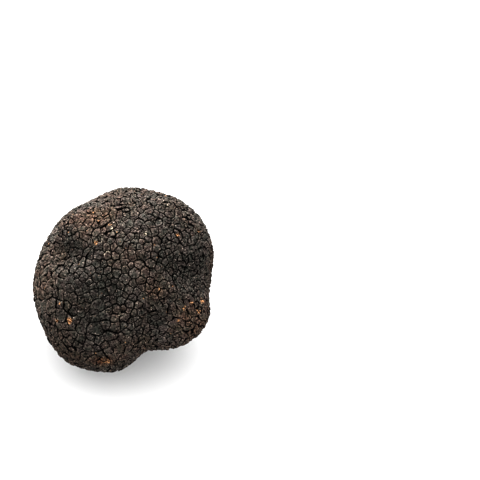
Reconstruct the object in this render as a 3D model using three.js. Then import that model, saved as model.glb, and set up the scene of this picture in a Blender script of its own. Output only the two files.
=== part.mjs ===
// A black truffle: the fruiting body of a fungus that grows underground, about 60 mm across.
// It grew as one piece, so it is one solid. The body is nearly round, with a few broad lobes and the
// furrows between them, and low polygonal warts cover the whole skin, parted by narrow grooves.
// It lies on a small flat spot. +Z is up, and -Y is the side that shows the cleft and the toe lobe.

import * as THREE from "three";
import { ConvexHull } from "three/addons/math/ConvexHull.js";

// Driving dimensions. Lengths are in millimetres and angles in degrees.
const SKIN_RADIUS = 28.6; // from the heart to the skin, where no lobe or furrow moves it
const HEART = new THREE.Vector3(0.26, 0.9, 28.1); // the point that the body is drawn round
const WART_SPACING = 3.85; // least distance between the middles of two neighbouring warts
const SIZE_SPREAD = 0.32; // how much that distance varies from wart to wart, as a share
const CROWDING = 0.3; // how much closer the warts stand in the bottom of a furrow, as a share
const RIM_RISE = 0.35; // of the rim of a wart's top above the mean skin
const RISE_SPREAD = 0.5; // how much that rise varies from wart to wart, as a share
const CROWN_RISE = 0.25; // of the middle of a wart's top above its rim
const WALL_RUN = 0.45; // how far a wart's wall leans in on its way up from the groove to the rim
const GROOVE_DEPTH = 0.55; // of the corners where grooves meet, below the mean skin
const SHORTEST_GROOVE = 0.7; // two corners nearer than this grow together into one
const SKIN_SEED = 20; // of the draw that scatters the warts
const DARTS = 60000; // places tried for a wart; most fall too near one that is there

// The lobes and furrows. Each is a rise of the skin, highest along the arc between two directions
// from the heart, and less than half as high at its reach from that arc. A furrow's rise is negative.
const FORMS = [
  { name: "belly", from: [-0.46, -0.85, -0.26], rise: 5.0, reach: 40 },
  { name: "heel", from: [-0.58, -0.54, -0.6], rise: 1.3, reach: 19 },
  { name: "shoulder", from: [0.67, 0.05, 0.74], rise: 4.6, reach: 38 },
  { name: "toe", from: [0.82, -0.54, -0.18], rise: 3.0, reach: 19 },
  { name: "crest", from: [0.0, 0.44, 0.9], rise: 1.0, reach: 13 },
  { name: "cheek", from: [-0.97, -0.23, 0.02], rise: 0.9, reach: 22 },
  { name: "brow", from: [-0.6, -0.03, 0.8], rise: 1.6, reach: 17 },
  { name: "back_swell", from: [-0.35, 0.86, -0.36], rise: 2.6, reach: 34 },
  { name: "back_knuckle", from: [0.6, 0.39, -0.7], rise: 2.6, reach: 24 },
  { name: "dimple", from: [-0.72, -0.33, 0.61], to: [-0.59, -0.47, 0.66], rise: -2.5, reach: 9 },
  { name: "nick", from: [-0.42, 0.44, 0.8], rise: -0.8, reach: 8 },
  { name: "fold", from: [-0.2, -0.71, 0.67], to: [-0.05, -0.95, 0.32], rise: -1.3, reach: 8 },
  { name: "cleft", from: [0.27, -0.96, 0.02], to: [0.19, -0.48, -0.86], rise: -3.8, reach: 11.5 },
  { name: "instep", from: [0.47, -0.59, -0.66], rise: -1.7, reach: 9 },
  { name: "arch", from: [0.4, -0.45, -0.8], to: [0.4, 0.1, -0.9], rise: -5.0, reach: 13.5 },
  { name: "hollow", from: [0.67, -0.54, 0.51], to: [0.99, -0.17, 0.02], rise: -2.2, reach: 13 },
  { name: "back_furrow", from: [0.22, 0.97, 0.08], to: [0.1, 0.61, -0.79], rise: -2.6, reach: 10 },
  { name: "back_dimple", from: [-0.76, 0.35, -0.55], rise: -1.8, reach: 10 },
].map(({ from, to = from, rise, reach }) => ({
  from: new THREE.Vector3(...from).normalize(),
  to: new THREE.Vector3(...to).normalize(),
  rise,
  sharpness: 1 / (1 - Math.cos(THREE.MathUtils.degToRad(reach))),
}));

// How far a direction lies inside a form: 1 on its arc, falling smoothly to nothing.
function share(form, direction) {
  const arc = form.to.clone().sub(form.from);
  const along = direction.clone().sub(form.from).dot(arc) / Math.max(arc.lengthSq(), 1e-9);
  const nearest = form.from.clone().addScaledVector(arc, THREE.MathUtils.clamp(along, 0, 1)).normalize();
  return Math.exp((direction.dot(nearest) - 1) * form.sharpness);
}

const skinRadius = (direction) =>
  FORMS.reduce((radius, form) => radius + form.rise * share(form, direction), SKIN_RADIUS);

// How deep a direction lies in the furrows, from 0 on open skin to 1 at the bottom of one.
const furrowShare = (direction) =>
  Math.min(1, FORMS.reduce((sum, form) => (form.rise < 0 ? sum + share(form, direction) : sum), 0));

// A small generator of random numbers from 0 to 1, so that every build scatters the warts alike.
function seededRandom(seed) {
  let state = seed;
  return () => {
    state = (state + 0x6d2b79f5) | 0;
    let mixed = Math.imul(state ^ (state >>> 15), 1 | state);
    mixed = (mixed + Math.imul(mixed ^ (mixed >>> 7), 61 | mixed)) ^ mixed;
    return ((mixed ^ (mixed >>> 14)) >>> 0) / 4294967296;
  };
}

// Scatters the warts' middles over the skin by throwing darts. One that lands too near an earlier
// one is dropped, so the warts come out packed and of uneven size. Returns their directions.
function scatterWarts() {
  const random = seededRandom(SKIN_SEED);
  const warts = [];
  for (let dart = 0; dart < DARTS; dart++) {
    const height = 2 * random() - 1;
    const turn = 2 * Math.PI * random();
    const size = 1 + SIZE_SPREAD * (2 * random() - 1);
    const ring = Math.sqrt(1 - height * height);
    const direction = new THREE.Vector3(ring * Math.cos(turn), ring * Math.sin(turn), height);
    const place = direction.clone().multiplyScalar(skinRadius(direction));
    const room = (WART_SPACING * size * (1 - CROWDING * furrowShare(direction))) / 2;
    if (warts.every((wart) => wart.place.distanceTo(place) > wart.room + room))
      warts.push({ direction, place, room });
  }
  return warts.map((wart) => wart.direction);
}

// The warts' outlines are the Voronoi cells of their middles. The hull of the middles joins each to its
// neighbours, every face of it gives a corner where three grooves meet, and each of its half edges gives
// the groove between two corners, seen from one wart. Corners that lie very near each other are merged.
function drawGrooves(middles) {
  const number = new Map(middles.map((middle, i) => [middle, i]));
  const faces = new ConvexHull().setFromPoints(middles).faces;
  const corners = faces.map((face) => face.normal.clone().normalize());
  const cornerOf = new Map(faces.map((face, i) => [face, i]));
  const merged = corners.map((_, i) => i);
  const kept = (i) => (merged[i] === i ? i : kept(merged[i]));
  const grooves = [];
  for (const face of faces)
    for (let step = 0, edge = face.edge; step < 3; step++, edge = edge.next) {
      const groove = {
        wart: number.get(edge.tail().point),
        from: cornerOf.get(edge.twin.face),
        to: cornerOf.get(face),
      };
      const length = corners[groove.from].distanceTo(corners[groove.to]) * SKIN_RADIUS;
      const [a, b] = [kept(groove.from), kept(groove.to)];
      if (length < SHORTEST_GROOVE && a !== b) {
        corners[a].add(corners[b]).normalize();
        merged[b] = a;
      }
      grooves.push(groove);
    }
  const joined = grooves.map(({ wart, from, to }) => ({ wart, from: kept(from), to: kept(to) }));
  return { corners, grooves: joined.filter(({ from, to }) => from !== to) };
}

// A point of the skin, lifted or sunk along its direction, and never below the resting plane.
function onSkin(direction, lift) {
  const point = direction.clone().multiplyScalar(skinRadius(direction) + lift).add(HEART);
  point.z = Math.max(point.z, 0);
  return point;
}

// The whole skin. Each wart is a low plateau: its top slopes gently from the crown to the rim, and a
// steep wall drops from the rim to the grooves, which it shares with its neighbours.
function wartedSkin() {
  const random = seededRandom(SKIN_SEED + 1);
  const { corners, grooves } = drawGrooves(scatterWarts());
  const warts = new Map();
  for (const { wart, from, to } of grooves) {
    if (!warts.has(wart)) warts.set(wart, { crown: new THREE.Vector3(), grooves: [] });
    warts.get(wart).crown.add(corners[from]).add(corners[to]);
    warts.get(wart).grooves.push([corners[from], corners[to]]);
  }
  const triangles = [];
  for (const wart of warts.values()) {
    const rise = RIM_RISE * (1 + RISE_SPREAD * (random() - 0.5));
    const crown = onSkin(wart.crown.normalize(), rise + CROWN_RISE);
    const rim = (corner) => {
      const lean = Math.min(0.5, WALL_RUN / (corner.distanceTo(wart.crown) * SKIN_RADIUS));
      return onSkin(corner.clone().lerp(wart.crown, lean).normalize(), rise);
    };
    for (const [from, to] of wart.grooves) {
      const [foot, nextFoot] = [from, to].map((corner) => onSkin(corner, -GROOVE_DEPTH));
      const [top, nextTop] = [from, to].map(rim);
      triangles.push(crown, top, nextTop, top, foot, nextFoot, top, nextFoot, nextTop);
    }
  }
  const skin = new THREE.BufferGeometry().setFromPoints(triangles);
  skin.computeVertexNormals();
  return skin;
}

// The skin is nearly black, with a brown cast, and dry.
const peridium = new THREE.MeshStandardMaterial({
  color: 0x3b322c,
  roughness: 0.72,
  metalness: 0,
  flatShading: true,
});

const truffle = new THREE.Mesh(wartedSkin(), peridium);
truffle.name = "truffle";

const part = new THREE.Group();
part.add(truffle);

export default part;
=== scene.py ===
# A black truffle on a white studio table, seen from the front and from above.

import math

import bmesh
import bpy
import numpy as np
from mathutils import Matrix, Vector


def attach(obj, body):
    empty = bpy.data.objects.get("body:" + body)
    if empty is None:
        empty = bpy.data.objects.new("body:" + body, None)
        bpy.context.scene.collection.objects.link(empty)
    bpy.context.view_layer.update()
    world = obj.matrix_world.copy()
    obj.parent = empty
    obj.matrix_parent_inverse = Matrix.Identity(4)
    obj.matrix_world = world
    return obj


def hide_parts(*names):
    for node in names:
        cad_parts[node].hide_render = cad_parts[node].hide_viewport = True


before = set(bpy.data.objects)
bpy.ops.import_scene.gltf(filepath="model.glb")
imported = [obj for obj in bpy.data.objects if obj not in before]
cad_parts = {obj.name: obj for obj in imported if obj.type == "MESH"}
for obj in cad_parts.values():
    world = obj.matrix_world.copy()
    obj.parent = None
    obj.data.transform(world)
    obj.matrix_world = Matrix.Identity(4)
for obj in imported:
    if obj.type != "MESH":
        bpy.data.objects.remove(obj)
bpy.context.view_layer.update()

# The fruiting body. A black truffle grows underground as one lump: nearly round, with broad lobes
# where it had room, and furrows between them. Its skin is measured out from one point near its
# middle, the heart, and each lobe or furrow lifts or sinks the skin round an arc of directions.
MM = 0.001  # Blender works in metres, and the truffle's sizes are in millimetres
HEART = np.array([0.26, 0.9, 28.1])
SKIN_RADIUS = 28.6  # from the heart to the skin, where no lobe or furrow moves it
LOBES_AND_FURROWS = [  # a furrow's rise is below 0, and the reach is in degrees
    dict(name="belly", start=(-0.46, -0.85, -0.26), rise=5.0, reach=40),
    dict(name="heel", start=(-0.58, -0.54, -0.6), rise=1.3, reach=19),
    dict(name="shoulder", start=(0.67, 0.05, 0.74), rise=4.6, reach=38),
    dict(name="toe", start=(0.82, -0.54, -0.18), rise=3.0, reach=19),
    dict(name="crest", start=(0.0, 0.44, 0.9), rise=1.0, reach=13),
    dict(name="cheek", start=(-0.97, -0.23, 0.02), rise=0.9, reach=22),
    dict(name="brow", start=(-0.6, -0.03, 0.8), rise=1.6, reach=17),
    dict(name="back swell", start=(-0.35, 0.86, -0.36), rise=2.6, reach=34),
    dict(name="back knuckle", start=(0.6, 0.39, -0.7), rise=2.6, reach=24),
    dict(name="dimple", start=(-0.72, -0.33, 0.61), end=(-0.59, -0.47, 0.66), rise=-2.5, reach=9),
    dict(name="nick", start=(-0.42, 0.44, 0.8), rise=-0.8, reach=8),
    dict(name="fold", start=(-0.2, -0.71, 0.67), end=(-0.05, -0.95, 0.32), rise=-1.3, reach=8),
    dict(name="cleft", start=(0.27, -0.96, 0.02), end=(0.19, -0.48, -0.86), rise=-3.8, reach=11.5),
    dict(name="instep", start=(0.47, -0.59, -0.66), rise=-1.7, reach=9),
    dict(name="arch", start=(0.4, -0.45, -0.8), end=(0.4, 0.1, -0.9), rise=-5.0, reach=13.5),
    dict(name="hollow", start=(0.67, -0.54, 0.51), end=(0.99, -0.17, 0.02), rise=-2.2, reach=13),
    dict(name="back furrow", start=(0.22, 0.97, 0.08), end=(0.1, 0.61, -0.79), rise=-2.6, reach=10),
    dict(name="back dimple", start=(-0.76, 0.35, -0.55), rise=-1.8, reach=10),
]


def unit(vectors):
    return vectors / np.linalg.norm(vectors, axis=-1, keepdims=True)


def nearness(directions, start, end=None, reach=10):
    """How near each direction is to the arc from start to end: 1 on it, and about a third at its reach."""
    start = unit(np.array(start, float))
    arc = unit(np.array(end, float)) - start if end else np.zeros(3)
    along = np.clip((directions - start) @ arc / (arc @ arc or 1), 0, 1)
    nearest = unit(start + along[..., None] * arc)
    return np.exp(((directions * nearest).sum(-1) - 1) / (1 - math.cos(math.radians(reach))))


def share_of(form, directions):
    return nearness(directions, form["start"], form.get("end"), form["reach"])


def skin_radius(directions):
    """How far the mean skin lies from the heart in each direction."""
    return SKIN_RADIUS + sum(form["rise"] * share_of(form, directions) for form in LOBES_AND_FURROWS)


def furrow_share(directions):
    """How deep each direction lies in the furrows, from 0 on open skin to 1 at the bottom of one."""
    furrows = [form for form in LOBES_AND_FURROWS if form["rise"] < 0]
    return np.minimum(1, sum(share_of(form, directions) for form in furrows))


# The camera stands where the photographer's did, 35 degrees above the table and well back with a long
# lens. It looks past the truffle to the right, because the truffle lies at the left of the picture.
PICTURE = 480  # pixels on each side of the picture
PIXELS_PER_MM = 3.0  # at the truffle
HEART_PIXEL = np.array([124.5, 279.5])  # where the heart lies in the picture, right and down
EYE_DISTANCE = 750.0  # millimetres from the heart
EYE_ELEVATION = math.radians(35)
SENSOR_WIDTH = 36.0
NEAREST_SKIN = EYE_DISTANCE - 45  # all the skin that the camera sees lies between these depths
FARTHEST_SKIN = EYE_DISTANCE + 10
DEPTH_STEP = 0.2
focal_pixels = PIXELS_PER_MM * EYE_DISTANCE

to_eye = np.array([0, -math.cos(EYE_ELEVATION), math.sin(EYE_ELEVATION)])
picture_right = np.array([1.0, 0, 0])
picture_up = np.cross(to_eye, picture_right)
offset = (PICTURE / 2 - HEART_PIXEL) / PIXELS_PER_MM
eye = HEART + EYE_DISTANCE * to_eye
forward = unit(HEART + offset[0] * picture_right - offset[1] * picture_up - eye)
side = unit(np.cross(forward, picture_up))
upward = np.cross(side, forward)

camera = bpy.data.objects.new("camera", bpy.data.cameras.new("camera"))
camera.data.sensor_width = SENSOR_WIDTH
camera.data.lens = SENSOR_WIDTH * focal_pixels / PICTURE
camera.matrix_world = Matrix.Translation(eye * MM) @ Matrix((side, upward, -forward)).transposed().to_4x4()
bpy.context.collection.objects.link(camera)
bpy.context.scene.camera = camera


def seen_at(pixels):
    """The directions from the heart to the points of the skin that the camera sees at these pixels."""
    x, y = (np.array(pixels, float) - PICTURE / 2).T
    rays = unit(focal_pixels * forward + x[:, None] * side - y[:, None] * upward)
    depths = np.arange(NEAREST_SKIN, FARTHEST_SKIN, DEPTH_STEP)
    points = eye + rays[:, None] * depths[:, None] - HEART
    below = np.linalg.norm(points, axis=-1) < skin_radius(unit(points))
    return unit(points[np.arange(len(points)), below.argmax(axis=1)])


# The warts. The skin has cracked into low polygonal warts, 2 to 4 mm across, packed like paving. Their
# middles are scattered as darts that must keep their distance, and the grooves run where two middles
# are equally near. A wart with more room has its middle lifted a little, so that its grooves lie farther out.
WART_SPACING = 1.8  # least distance between two middles on the shoulder, where the warts are finer
BELLY_SPACING = 1.2  # how much farther apart they stand in the middle of the belly
BELLY_MIDDLE = (-0.46, -0.85, 0.1)
BELLY_REACH = 58  # how many degrees round it the warts are coarser
SIZE_SPREAD = 0.38  # how much the distance varies from wart to wart, as a share
CROWDING = 0.3  # how much closer they stand at the bottom of a furrow, as a share
DARTS = 50000  # places tried for a wart; most fall too near one that is there
SHORTEST_GROOVE = 0.35  # two corners nearer than this grow together into one
GROOVE_STEP = 0.9  # the grooves bend about this often
GROOVE_WANDER = 0.1  # and stray about this far sideways at each bend
SCATTER_SEED = 12  # of all that is drawn at random

rng = np.random.default_rng(SCATTER_SEED)


def scatter_warts():
    """The direction from the heart to the middle of every wart, and the room that it keeps round it."""
    directions = unit(rng.normal(size=(DARTS, 3)))
    places = directions * skin_radius(directions)[:, None]
    coarse = WART_SPACING + BELLY_SPACING * nearness(directions, BELLY_MIDDLE, reach=BELLY_REACH)
    size = rng.uniform(1 - SIZE_SPREAD, 1 + SIZE_SPREAD, DARTS)
    room = coarse * size * (1 - CROWDING * furrow_share(directions)) / 2
    kept = np.zeros(DARTS, int)
    count = 0
    for dart in range(DARTS):
        others = kept[:count]
        gaps = np.linalg.norm(places[others] - places[dart], axis=1)
        if (gaps > room[others] + room[dart]).all():
            kept[count] = dart
            count += 1
    kept = kept[:count]
    return directions[kept], room[kept]


def join_neighbours(middles):
    """Every triangle of neighbouring warts, turned to face outwards."""
    hull = bmesh.new()
    for number, middle in enumerate(middles):
        hull.verts.new(middle).index = number
    bmesh.ops.convex_hull(hull, input=hull.verts)
    bmesh.ops.triangulate(hull, faces=hull.faces)
    triangles = np.array([[vert.index for vert in face.verts] for face in hull.faces])
    hull.free()
    a, b, c = (middles[triangles[:, i]] for i in range(3))
    inward = (np.cross(b - a, c - a) * a).sum(axis=1) < 0
    triangles[inward] = triangles[inward][:, ::-1]
    return triangles


def draw_grooves(middles):
    """The points where the grooves meet and then those where they bend, the number of the first kind, and
    the stretches between them as rows of wart, first and last point, anticlockwise round the wart."""
    triangles = join_neighbours(middles)
    a, b, c = (middles[triangles[:, i]] for i in range(3))
    points = list(unit(np.cross(b - a, c - a)))
    left_of = {}
    for corner, (a, b, c) in enumerate(triangles.tolist()):
        left_of[a, b] = left_of[b, c] = left_of[c, a] = corner

    joined = list(range(len(points)))

    def kept(corner):
        while joined[corner] != corner:
            corner = joined[corner]
        return corner

    for (a, b), left in left_of.items():
        first, last = kept(left_of[b, a]), kept(left)
        if first != last and np.linalg.norm(points[first] - points[last]) * SKIN_RADIUS < SHORTEST_GROOVE:
            points[first] = unit(points[first] + points[last])
            joined[last] = first

    stretches = []
    for (a, b), left in left_of.items():
        first, last = kept(left_of[b, a]), kept(left)
        if a > b or first == last:
            continue
        run = points[last] - points[first]
        bends = round(np.linalg.norm(run) * SKIN_RADIUS / GROOVE_STEP) - 1
        sideways = unit(np.cross(points[first], run))
        chain = [first]
        for bend in range(1, bends + 1):
            stray = rng.normal() * GROOVE_WANDER / SKIN_RADIUS
            chain.append(len(points))
            points.append(unit(points[first] + run * bend / (bends + 1) + stray * sideways))
        chain.append(last)
        stretches += [(a, p, q) for p, q in zip(chain, chain[1:])]
        stretches += [(b, q, p) for p, q in zip(chain, chain[1:])]
    return np.array(points), len(triangles), np.array(stretches)


# Each wart rises from its groove in rings of points: a steep wall, a rounded shoulder, a rim and an
# uneven top, tilted its own way. Creases run in from its rim, and some have a pit in the middle; creases
# and pits are painted darker as shade. A ring takes the share called uneven of its wart's tilt and creases,
# and its last two values are for the colour: its height, from 0 down in the groove, which is painted black
# as shade, to 1 on the top, and how rubbed it is, which lightens it as wear and as a painted highlight.
RINGS = [  # each lies inset from the groove, but no farther in than limit, as a share of the way in
    dict(name="wall", inset=0.07, limit=0.16, rise=-0.36, uneven=0.3, lumps=0.03, height=0, rubbed_and_highlit=0),
    dict(name="shoulder", inset=0.16, limit=0.27, rise=-0.2, uneven=0.9, lumps=0.05, height=0.5, rubbed_and_highlit=0.6),
    dict(name="rim", inset=0.4, limit=0.44, rise=-0.03, uneven=1, lumps=0.1, height=1, rubbed_and_highlit=1),
    dict(name="top", inset=0.9, limit=0.72, rise=0.08, uneven=0.8, lumps=0.12, height=1, rubbed_and_highlit=0.4),
]
CORNER_ROUNDING = 1.1  # a wart's corners draw back this many times as far as its sides
GAP_SPREAD = 0.3  # how much wider or narrower than the rest the gap round a wart is, as a share
GROOVE_DEPTH = 0.52  # below the mean skin
GROOVE_ROUGHNESS = 0.1  # how much that depth varies from point to point
MIDDLE_RISE = 0.25  # of the middle of a wart's top above the mean skin
RISE_SPREAD = 0.1  # of a whole wart above or below its neighbours
TILT_SPREAD = 0.22  # of its top, as a slope
EDGE_SPREAD = 0.35  # how unevenly a wart's edge draws back from its groove
CREASED_SHARE = 0.22  # of the places round a wart where a crease runs in from its edge
CREASE_DEPTH = 0.3
PITTED_SHARE = 0.2  # of the warts
PIT_DEPTH = 0.4
HIGHEST_RISE = 0.4  # the tips are worn off above this
TABLE_TOP = 0  # the plane that the truffle rests on
FACET_ANGLE = math.radians(12)  # faces that meet at more than this show the edge between them


def on_skin(directions, lift):
    """Points of the skin in millimetres, lifted along their directions and kept above the table."""
    points = HEART + directions * (skin_radius(directions) + np.minimum(lift, HIGHEST_RISE))[:, None]
    points[:, 2] = np.maximum(points[:, 2], TABLE_TOP)
    return points


middles, rooms = scatter_warts()
middles *= 1 + (rooms[:, None] / SKIN_RADIUS) ** 2 / 2
groove_points, corner_count, stretches = draw_grooves(middles)
wart, first, last = stretches.T

# A ring has one point for each stretch of groove, inwards from where the stretch starts. The stretch
# that follows it round the same wart starts where it ends.
number_of_start = {(w, p): number for number, (w, p) in enumerate(zip(wart.tolist(), first.tolist()))}
following = np.array([number_of_start[w, q] for w, q in zip(wart.tolist(), last.tolist())])

crowns = np.zeros_like(middles)
np.add.at(crowns, wart, groove_points[first])
crowns = unit(crowns)
wart_rise = rng.normal(0, RISE_SPREAD, len(crowns))
wart_tilt = rng.normal(0, TILT_SPREAD, (len(crowns), 3))
wart_gap = rng.uniform(1 - GAP_SPREAD, 1 + GAP_SPREAD, len(crowns))
pitted = rng.random(len(crowns)) < PITTED_SHARE
to_crown = np.linalg.norm(groove_points[first] - crowns[wart], axis=1) * SKIN_RADIUS
drawn_back = wart_gap[wart] * np.where(first < corner_count, CORNER_ROUNDING, 1)
drawn_back *= rng.uniform(1 - EDGE_SPREAD, 1 + EDGE_SPREAD, len(stretches))
creased = rng.random(len(stretches)) < CREASED_SHARE

layers = [on_skin(groove_points, rng.normal(-GROOVE_DEPTH, GROOVE_ROUGHNESS, len(groove_points)))]
for ring in RINGS:
    way = np.minimum(ring["limit"], ring["inset"] * drawn_back / to_crown)[:, None]
    directions = unit(groove_points[first] * (1 - way) + crowns[wart] * way)
    leaning = ((directions - crowns[wart]) * SKIN_RADIUS * wart_tilt[wart]).sum(axis=1)
    lift = ring["rise"] + (wart_rise[wart] + leaning - CREASE_DEPTH * creased) * ring["uneven"]
    layers.append(on_skin(directions, lift + rng.normal(0, ring["lumps"], len(directions))))
layers.append(on_skin(crowns, MIDDLE_RISE + wart_rise - PIT_DEPTH * pitted))

layer_starts = np.cumsum([0] + [len(layer) for layer in layers])
row = np.arange(len(stretches))
lower, lower_next = first, last
faces = []
for start in layer_starts[1:-2]:
    faces += np.stack([lower, lower_next, start + following, start + row], axis=1).tolist()
    lower, lower_next = start + row, start + following
faces += np.stack([lower, lower_next, layer_starts[-2] + wart], axis=1).tolist()

skin = bpy.data.meshes.new("truffle_skin")
skin.from_pydata(np.concatenate(layers) * MM, [], faces)
skin.shade_smooth()
skin.set_sharp_from_angle(angle=FACET_ANGLE)
truffle = bpy.data.objects.new("warted_skin", skin)
bpy.context.collection.objects.link(truffle)

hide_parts("truffle")
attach(truffle, "root")


# The peridium is the truffle's own skin, a dry, hard rind that grew nearly black. It is rough and has
# hardly any shine, so the eye reads its form from the warts' rubbed edges, lightened also as a painted
# highlight, and the grooves, painted black as shade. Patches are browner or sootier, with painted shade
# darkening the dimple, fold, hollows, cleft and low belly, and here and there a broken wart shows tan
# flesh, or a pale fleck has caught.
STAINS_AND_SHADES = [  # patches seen in the picture: how many degrees they reach, how brown and how sooty they are; the darkening in the dimple, fold, hollows, cleft, under the brow and low on the belly is painted shade as well as soot
    dict(name="brow", pixel=(94, 216), reach=11, brown=1.35, soot_and_shade=-0.45),
    dict(name="crest", pixel=(124, 200), reach=13, brown=0.4, soot_and_shade=-0.2),
    dict(name="shoulder", pixel=(168, 212), reach=14, brown=0.15, soot_and_shade=0.24),
    dict(name="left edge", pixel=(42, 290), reach=14, brown=0.0, soot_and_shade=-0.25),
    dict(name="band under the brow", pixel=(118, 252), reach=8, brown=0.0, soot_and_shade=-0.02),
    dict(name="dimple", pixel=(73, 247), reach=8, brown=-0.7, soot_and_shade=0.64),
    dict(name="over the dimple", pixel=(62, 236), reach=8, brown=-0.6, soot_and_shade=0.07),
    dict(name="fold", pixel=(108, 284), reach=10, brown=-0.55, soot_and_shade=0.48),
    dict(name="middle", pixel=(150, 291), reach=8, brown=1.15, soot_and_shade=-0.25),
    dict(name="brow, left", pixel=(72, 221), reach=8, brown=0.4, soot_and_shade=-0.06),
    dict(name="under the brow", pixel=(93, 250), reach=7, brown=-0.3, soot_and_shade=0.4),
    dict(name="belly, left", pixel=(78, 296), reach=17, brown=-0.45, soot_and_shade=0.46),
    dict(name="hollow, upper", pixel=(165, 258), reach=9, brown=-0.8, soot_and_shade=0.46),
    dict(name="hollow", pixel=(193, 270), reach=12, brown=-0.85, soot_and_shade=0.32),
    dict(name="toe", pixel=(190, 326), reach=15, brown=0.85, soot_and_shade=-0.52),
    dict(name="cleft", pixel=(155, 318), reach=5, brown=-0.2, soot_and_shade=0.4),
    dict(name="belly, right", pixel=(117, 314), reach=7, brown=1.05, soot_and_shade=-0.2),
    dict(name="belly, low", pixel=(94, 322), reach=8, brown=-0.3, soot_and_shade=0.36),
    dict(name="foot, left", pixel=(78, 357), reach=7, brown=0.6, soot_and_shade=0.22),
    dict(name="foot, right", pixel=(150, 342), reach=9, brown=0.2, soot_and_shade=-0.35),
    dict(name="foot, russet", pixel=(103, 362), reach=6, brown=2.6, soot_and_shade=-0.66),
]
HIDDEN_STAINS = 14  # patches scattered over the sides that the picture doesn't show
HIDDEN_REACHES = (7, 16)
HIDDEN_BROWNS = (-0.5, 1.2)
HIDDEN_SOOTS = (-0.3, 0.6)
BROKEN_TIPS = [  # warts broken open to the tan flesh, where the picture shows them
    dict(name="toe, outermost", pixel=(202, 301), size=0.75),
    dict(name="toe, second", pixel=(191, 303), size=0.6),
    dict(name="toe, third", pixel=(184, 308), size=0.7),
    dict(name="toe, low", pixel=(199, 312), size=0.7),
    dict(name="toe, inner", pixel=(178, 320), size=0.65),
    dict(name="middle", pixel=(160, 289), size=0.55),
    dict(name="belly, large", pixel=(69, 321), size=0.95),
    dict(name="belly, small", pixel=(57, 321), size=0.5),
    dict(name="belly, high", pixel=(60, 303), size=0.45),
    dict(name="brow", pixel=(110, 225), size=0.5),
    dict(name="brow, low", pixel=(96, 243), size=0.55),
    dict(name="brow, edge", pixel=(73, 214), size=0.5),
    dict(name="shoulder, right", pixel=(199, 231), size=0.55),
    dict(name="shoulder, middle", pixel=(178, 235), size=0.6),
    dict(name="shoulder, inner", pixel=(155, 244), size=0.5),
    dict(name="foot", pixel=(107, 362), size=0.7),
]
PALE_FLECKS = [  # specks of pale grit and torn tissue caught in the grooves
    dict(name="dimple edge", pixel=(108, 251), size=0.42),
    dict(name="dimple edge, low", pixel=(104, 254), size=0.3),
    dict(name="brow", pixel=(112, 229), size=0.35),
    dict(name="brow, left", pixel=(101, 240), size=0.35),
    dict(name="crest", pixel=(168, 205), size=0.4),
    dict(name="shoulder", pixel=(145, 234), size=0.4),
    dict(name="fold", pixel=(129, 250), size=0.4),
    dict(name="hollow", pixel=(203, 258), size=0.35),
    dict(name="middle", pixel=(169, 286), size=0.4),
    dict(name="cleft", pixel=(151, 308), size=0.35),
    dict(name="belly, high", pixel=(90, 300), size=0.4),
    dict(name="belly, left", pixel=(65, 296), size=0.3),
    dict(name="belly, middle", pixel=(108, 312), size=0.3),
    dict(name="belly, right", pixel=(120, 315), size=0.35),
]
HIDDEN_TIPS = 24  # broken warts, and flecks, scattered over the sides that the picture doesn't show
HIDDEN_TIP_SIZES = (0.3, 0.75)
HIDDEN_FLECKS = 30
HIDDEN_FLECK_SIZES = (0.18, 0.45)
DRAWS = 12  # directions drawn for each hidden place, so that enough of them are hidden
HIDDEN_LEAN = -0.1  # how far such a direction leans away from the camera, at the least
CREASE_SHADE = 0.5  # how far the creases and pits are painted in shade, towards a groove's black
PIT_SHADE = 0.6
CROWN_RUBBED_AND_HIGHLIT = 0.1  # how rubbed and highlit the middle of a wart's top is, where its rim is 1
SPOT_EDGE = 1.0  # how far from a spot's edge its depth is told apart


def linear(hex_colour):
    """An sRGB hex colour as the linear red, green, blue and alpha that Blender works in."""
    parts = [int(hex_colour[i : i + 2], 16) / 255 for i in (0, 2, 4)]
    return [c / 12.92 if c <= 0.04045 else ((c + 0.055) / 1.055) ** 2.4 for c in parts] + [1]


def add_node(tree, kind, inputs, **settings):
    """Adds a node with these settings, fills or links its inputs, and returns its live output."""
    node = tree.nodes.new(kind)
    for name, value in settings.items():
        setattr(node, name, value)
    for name, value in inputs.items():
        if isinstance(value, bpy.types.NodeSocket):
            tree.links.new(value, node.inputs[name])
        else:
            node.inputs[name].default_value = value
    return next(output for output in node.outputs if output.enabled)


def scattered_behind(count):
    """Directions spread at random over the sides that the camera doesn't see."""
    directions = unit(rng.normal(size=(DRAWS * count, 3)))
    return directions[directions @ to_eye < HIDDEN_LEAN][:count]


def depth_in_spots(spots, hidden_count, hidden_sizes):
    """How far inside the nearest spot each point of the skin lies, in millimetres, or outside, below 0."""
    places = np.concatenate([seen_at([spot["pixel"] for spot in spots]), scattered_behind(hidden_count)])
    sizes = [spot["size"] for spot in spots] + list(rng.uniform(*hidden_sizes, hidden_count))
    depth = np.full(len(outward), -SPOT_EDGE)
    for place, size in zip(places, sizes):
        depth = np.maximum(depth, size - np.linalg.norm(outward - place, axis=1) * SKIN_RADIUS)
    return depth


def per_point(name, values):
    """Keeps a value for each point of the skin, for the material to read by this name."""
    skin.attributes.new(name, "FLOAT", "POINT").data.foreach_set("value", values.astype(np.float32))


points = np.zeros(len(skin.vertices) * 3, np.float32)
skin.vertices.foreach_get("co", points)
outward = unit(points.reshape(-1, 3) / MM - HEART)
in_groove = np.zeros(len(groove_points))
height, rubbed_and_highlit, tint = [in_groove], [in_groove], [in_groove]
wart_tint = rng.random(len(crowns))
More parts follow.
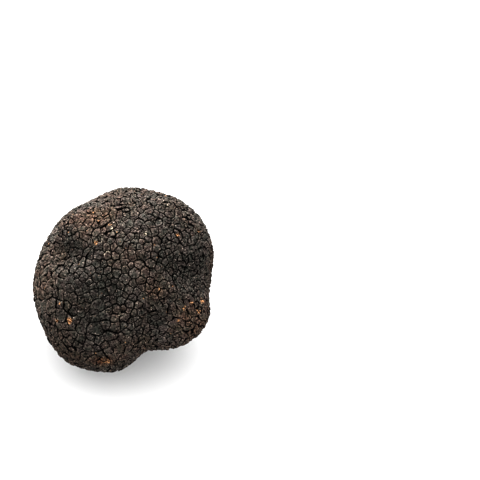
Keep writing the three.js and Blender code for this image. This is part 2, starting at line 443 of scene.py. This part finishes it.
# Painted shade: a ring's height darkens it towards black, lower still at creases and pits.
for ring in RINGS:
    height.append(ring["height"] - CREASE_SHADE * creased * (ring["height"] > CREASE_SHADE))
    rubbed_and_highlit.append(np.full(len(wart), ring["rubbed_and_highlit"]))
    tint.append(wart_tint[wart])
height.append(1 - PIT_SHADE * pitted)
rubbed_and_highlit.append(np.full(len(crowns), CROWN_RUBBED_AND_HIGHLIT))
tint.append(wart_tint)

stains_and_shades = [(seen_at([s["pixel"]])[0], s["reach"], s["brown"], s["soot_and_shade"]) for s in STAINS_AND_SHADES]
for middle in scattered_behind(HIDDEN_STAINS):
    drawn = [rng.uniform(*ends) for ends in (HIDDEN_REACHES, HIDDEN_BROWNS, HIDDEN_SOOTS)]
    stains_and_shades.append((middle, *drawn))
brown, soot_and_shade = np.zeros((2, len(outward)))
for middle, reach, stain_brown, stain_soot_and_shade in stains_and_shades:
    share = nearness(outward, middle, reach=reach)
    brown += stain_brown * share
    soot_and_shade += stain_soot_and_shade * share

per_point("height", np.concatenate(height))
per_point("rubbed_and_highlit", np.concatenate(rubbed_and_highlit))
per_point("tint", np.concatenate(tint))
per_point("brown", brown)
per_point("soot_and_shade", soot_and_shade)
per_point("flesh", depth_in_spots(BROKEN_TIPS, HIDDEN_TIPS, HIDDEN_TIP_SIZES))
per_point("fleck", depth_in_spots(PALE_FLECKS, HIDDEN_FLECKS, HIDDEN_FLECK_SIZES))

peridium = bpy.data.materials.new("peridium")
peridium.use_nodes = True
tree = peridium.node_tree
shader = tree.nodes["Principled BSDF"]
FACTOR, LOW, HIGH = 0, 6, 7  # the inputs of a node that mixes two colours

# A change is where a pattern's value goes from nothing of the second colour to all of it.
OLIVE = linear("333430")  # the rind's two shades, in faint patches
ROSE = linear("383230")
BLUSH = 2.5 * MM  # across those patches
BLUSH_CHANGE = {"From Min": 0.4, "From Max": 0.6}
RUBBED_AND_HIGHLIGHT = linear("746d67")  # where the grains of a wart's edge are worn, and lighter as a painted highlight
RUBBED_AND_HIGHLIGHT_CHANGE = {"From Min": 0.46, "From Max": 0.66}
BROWN = linear("ffd3b0")  # the tint of a patch that is wholly brown
CLOUD = 14 * MM  # across the cloudy patches of brown
BROWN_BY_CLOUD = 1.2  # how much the clouds, the stains and each wart's own tint add to the brown
BROWN_BY_STAIN = 0.4
BROWN_BY_WART = 0.2
LEAST_BROWN = -0.57
SOOT_AND_SHADE = linear("7a827b")  # the tint of a patch that is wholly sooty, or wholly in painted shade
# Painted shade: the grooves, and the creases and pits in the warts, go towards this black.
PAINTED_GROOVE_SHADE = linear("030202")
GROOVE_SHADE_CHANGE = {"From Min": 0.6, "From Max": 0.25}
DENT_SHADE_CHANGE = {"From Min": 0.45, "From Max": 0.38}  # painted shade: the deepest dents between grains are as black
GRAIN = 0.6 * MM  # across the grains of the rind; real ones are finer, and wouldn't show
FACET = 1.1 * MM  # across the facets on a wart
FACET_SHARE = -0.5  # of the facets in the relief, where the grains have 1
RELIEF_DEPTH = 0.2 * MM
FLESH_DARK = linear("523620")
FLESH_LIGHT = linear("b08e6e")
FLECK = linear("aaa192")
CRUMB = 0.5 * MM  # across the crumbs of broken flesh
CRUMB_CHANGE = {"From Min": 0.47, "From Max": 0.6}
RAGGED = 1.8  # how much the crumbs shift the edge of a spot of flesh, where its depth counts for 1
RAGGED_CHANGE = {"From Min": 0.9, "From Max": 1.1}
GLINT = linear("b0a59c")
SPECKS = [  # dust with painted glints, and crumbs, on the warts; one speck stands for several finer ones of a real truffle
    dict(name="dust_and_glints", spacing=1.2 * MM, reach=0.17, light=GLINT),
    dict(name="crumbs", spacing=3.6 * MM, reach=0.09, light=FLESH_LIGHT),
]
SPECK_CORE = 0.6  # the share of a speck's reach that it covers wholly

place = add_node(tree, "ShaderNodeTexCoord", {}).node.outputs["Object"]
at_point = {}
for name in ("height", "rubbed_and_highlit", "tint", "brown", "soot_and_shade", "flesh", "fleck"):
    at_point[name] = add_node(tree, "ShaderNodeAttribute", {}, attribute_name=name).node.outputs["Fac"]
grain_inputs = {"Vector": place, "Scale": 1 / GRAIN, "Detail": 3, "Roughness": 0.65}
grains = add_node(tree, "ShaderNodeTexNoise", grain_inputs)
crumbs = add_node(tree, "ShaderNodeTexNoise", {"Vector": place, "Scale": 1 / CRUMB, "Detail": 2})
clouds = add_node(tree, "ShaderNodeTexNoise", {"Vector": place, "Scale": 1 / CLOUD, "Detail": 3})
blushes = add_node(tree, "ShaderNodeTexNoise", {"Vector": place, "Scale": 1 / BLUSH, "Detail": 2})
facets = add_node(tree, "ShaderNodeTexVoronoi", {"Vector": place, "Scale": 1 / FACET})

blush = add_node(tree, "ShaderNodeMapRange", {"Value": blushes, **BLUSH_CHANGE})
colour = add_node(tree, "ShaderNodeMix", {FACTOR: blush, LOW: OLIVE, HIGH: ROSE}, data_type="RGBA")
# Wear and painted highlight: the grains of the warts' rims are lightened.
worn_and_highlit = add_node(tree, "ShaderNodeMapRange", {"Value": grains, **RUBBED_AND_HIGHLIGHT_CHANGE})
worn_and_highlit = add_node(tree, "ShaderNodeMath", {0: worn_and_highlit, 1: at_point["rubbed_and_highlit"]}, operation="MULTIPLY")
colour = add_node(tree, "ShaderNodeMix", {FACTOR: worn_and_highlit, LOW: colour, HIGH: RUBBED_AND_HIGHLIGHT}, data_type="RGBA")

brownness = LEAST_BROWN
browns = ((clouds, BROWN_BY_CLOUD), (at_point["brown"], BROWN_BY_STAIN), (at_point["tint"], BROWN_BY_WART))
for value, weight in browns:
    sum_inputs = {0: value, 1: weight, 2: brownness}
    brownness = add_node(tree, "ShaderNodeMath", sum_inputs, operation="MULTIPLY_ADD")
tinting = dict(data_type="RGBA", blend_type="MULTIPLY")
colour = add_node(tree, "ShaderNodeMix", {FACTOR: brownness, LOW: colour, HIGH: BROWN}, **tinting)
# Soot and painted shade: the patches darken the colour above 0, and lighten it below 0.
soot_and_shade_inputs = {FACTOR: at_point["soot_and_shade"], LOW: colour, HIGH: SOOT_AND_SHADE}
colour = add_node(tree, "ShaderNodeMix", soot_and_shade_inputs, clamp_factor=False, **tinting)

# Painted shade: the deepest dents between grains go as black as the grooves.
dent_shade = add_node(tree, "ShaderNodeMapRange", {"Value": grains, **DENT_SHADE_CHANGE})
# Painted shade: the grooves, creases and pits are darkened towards black by the height attribute.
sunk_shade = add_node(tree, "ShaderNodeMapRange", {"Value": at_point["height"], **GROOVE_SHADE_CHANGE})
sunk_shade = add_node(tree, "ShaderNodeMath", {0: sunk_shade, 1: dent_shade}, operation="MAXIMUM")
colour = add_node(tree, "ShaderNodeMix", {FACTOR: sunk_shade, LOW: colour, HIGH: PAINTED_GROOVE_SHADE}, data_type="RGBA")

crumb = add_node(tree, "ShaderNodeMapRange", {"Value": crumbs, **CRUMB_CHANGE})
flesh_inputs = {FACTOR: crumb, LOW: FLESH_DARK, HIGH: FLESH_LIGHT}
flesh = add_node(tree, "ShaderNodeMix", flesh_inputs, data_type="RGBA")
for depth, bare in ((at_point["flesh"], flesh), (at_point["fleck"], FLECK)):
    ragged = add_node(tree, "ShaderNodeMath", {0: crumbs, 1: RAGGED, 2: depth}, operation="MULTIPLY_ADD")
    share = add_node(tree, "ShaderNodeMapRange", {"Value": ragged, **RAGGED_CHANGE})
    colour = add_node(tree, "ShaderNodeMix", {FACTOR: share, LOW: colour, HIGH: bare}, data_type="RGBA")

# The pale dust specks on the wart tops are painted glints as well as dust.
for speck in SPECKS:
    cells = add_node(tree, "ShaderNodeTexVoronoi", {"Vector": place, "Scale": 1 / speck["spacing"]})
    edge_inputs = {"Value": cells, "From Min": speck["reach"], "From Max": speck["reach"] * SPECK_CORE}
    share = add_node(tree, "ShaderNodeMapRange", edge_inputs)
    share = add_node(tree, "ShaderNodeMath", {0: share, 1: at_point["height"]}, operation="MULTIPLY")
    shade_inputs = {FACTOR: cells.node.outputs["Color"], LOW: FLESH_DARK, HIGH: speck["light"]}
    shade = add_node(tree, "ShaderNodeMix", shade_inputs, data_type="RGBA")
    colour = add_node(tree, "ShaderNodeMix", {FACTOR: share, LOW: colour, HIGH: shade}, data_type="RGBA")

relief = add_node(tree, "ShaderNodeMath", {0: facets, 1: FACET_SHARE, 2: grains}, operation="MULTIPLY_ADD")
bump = add_node(tree, "ShaderNodeBump", {"Height": relief, "Strength": 1, "Distance": RELIEF_DEPTH})
tree.links.new(colour, shader.inputs["Base Color"])
tree.links.new(bump, shader.inputs["Normal"])
shader.inputs["Roughness"].default_value = 0.6
shader.inputs["Specular IOR Level"].default_value = 0.05  # dry and porous, so hardly any shine
skin.materials.append(peridium)

# The table is a matt white acrylic sheet, lit faintly from below, as studios do for objects shown on
# white. Its glow keeps the truffle's soft shadow pale, and the open sheet goes to plain white.
TABLE_HALF = 3.0  # metres from its middle to each side
corners = [(x * TABLE_HALF, y * TABLE_HALF, TABLE_TOP) for x, y in ((-1, -1), (1, -1), (1, 1), (-1, 1))]
table_mesh = bpy.data.meshes.new("table")
table_mesh.from_pydata(corners, [], [range(len(corners))])
table = bpy.data.objects.new("table", table_mesh)
bpy.context.collection.objects.link(table)

acrylic = bpy.data.materials.new("white_acrylic")
acrylic.use_nodes = True
sheet = acrylic.node_tree.nodes["Principled BSDF"]
sheet.inputs["Base Color"].default_value = linear("a0a0a0")
sheet.inputs["Roughness"].default_value = 0.9
sheet.inputs["Emission Color"].default_value = linear("ffffff")
sheet.inputs["Emission Strength"].default_value = 0.32
table_mesh.materials.append(acrylic)

# The light is a studio's: one wide soft box overhead, behind the truffle and to its left, in a white
# room that fills the shadows from all round. The box is screened off from the table and lights the
# truffle alone. The gamma gives the contrast of a camera's own picture, with deep darks.
BOX_PLACE = Vector((-0.37, 0.65, 1.07))  # metres from the origin
BOX_SIZE = 1.0
BOX_WATTS = 75
ROOM_BRIGHTNESS = 3.4
PICTURE_GAMMA = 0.65
soft_box = bpy.data.objects.new("soft_box", bpy.data.lights.new("soft_box", "AREA"))
soft_box.data.size = BOX_SIZE
soft_box.data.energy = BOX_WATTS
soft_box.location = BOX_PLACE
soft_box.rotation_euler = (-BOX_PLACE).to_track_quat("-Z", "Y").to_euler()
bpy.context.collection.objects.link(soft_box)
box_lights = bpy.data.collections.new("box_lights")
box_lights.objects.link(truffle)
soft_box.light_linking.receiver_collection = box_lights

room = bpy.data.worlds.new("white_room")
room.use_nodes = True
room.node_tree.nodes["Background"].inputs["Color"].default_value = linear("ffffff")
room.node_tree.nodes["Background"].inputs["Strength"].default_value = ROOM_BRIGHTNESS
bpy.context.scene.world = room
bpy.context.scene.view_settings.view_transform = "Standard"
bpy.context.scene.view_settings.gamma = PICTURE_GAMMA
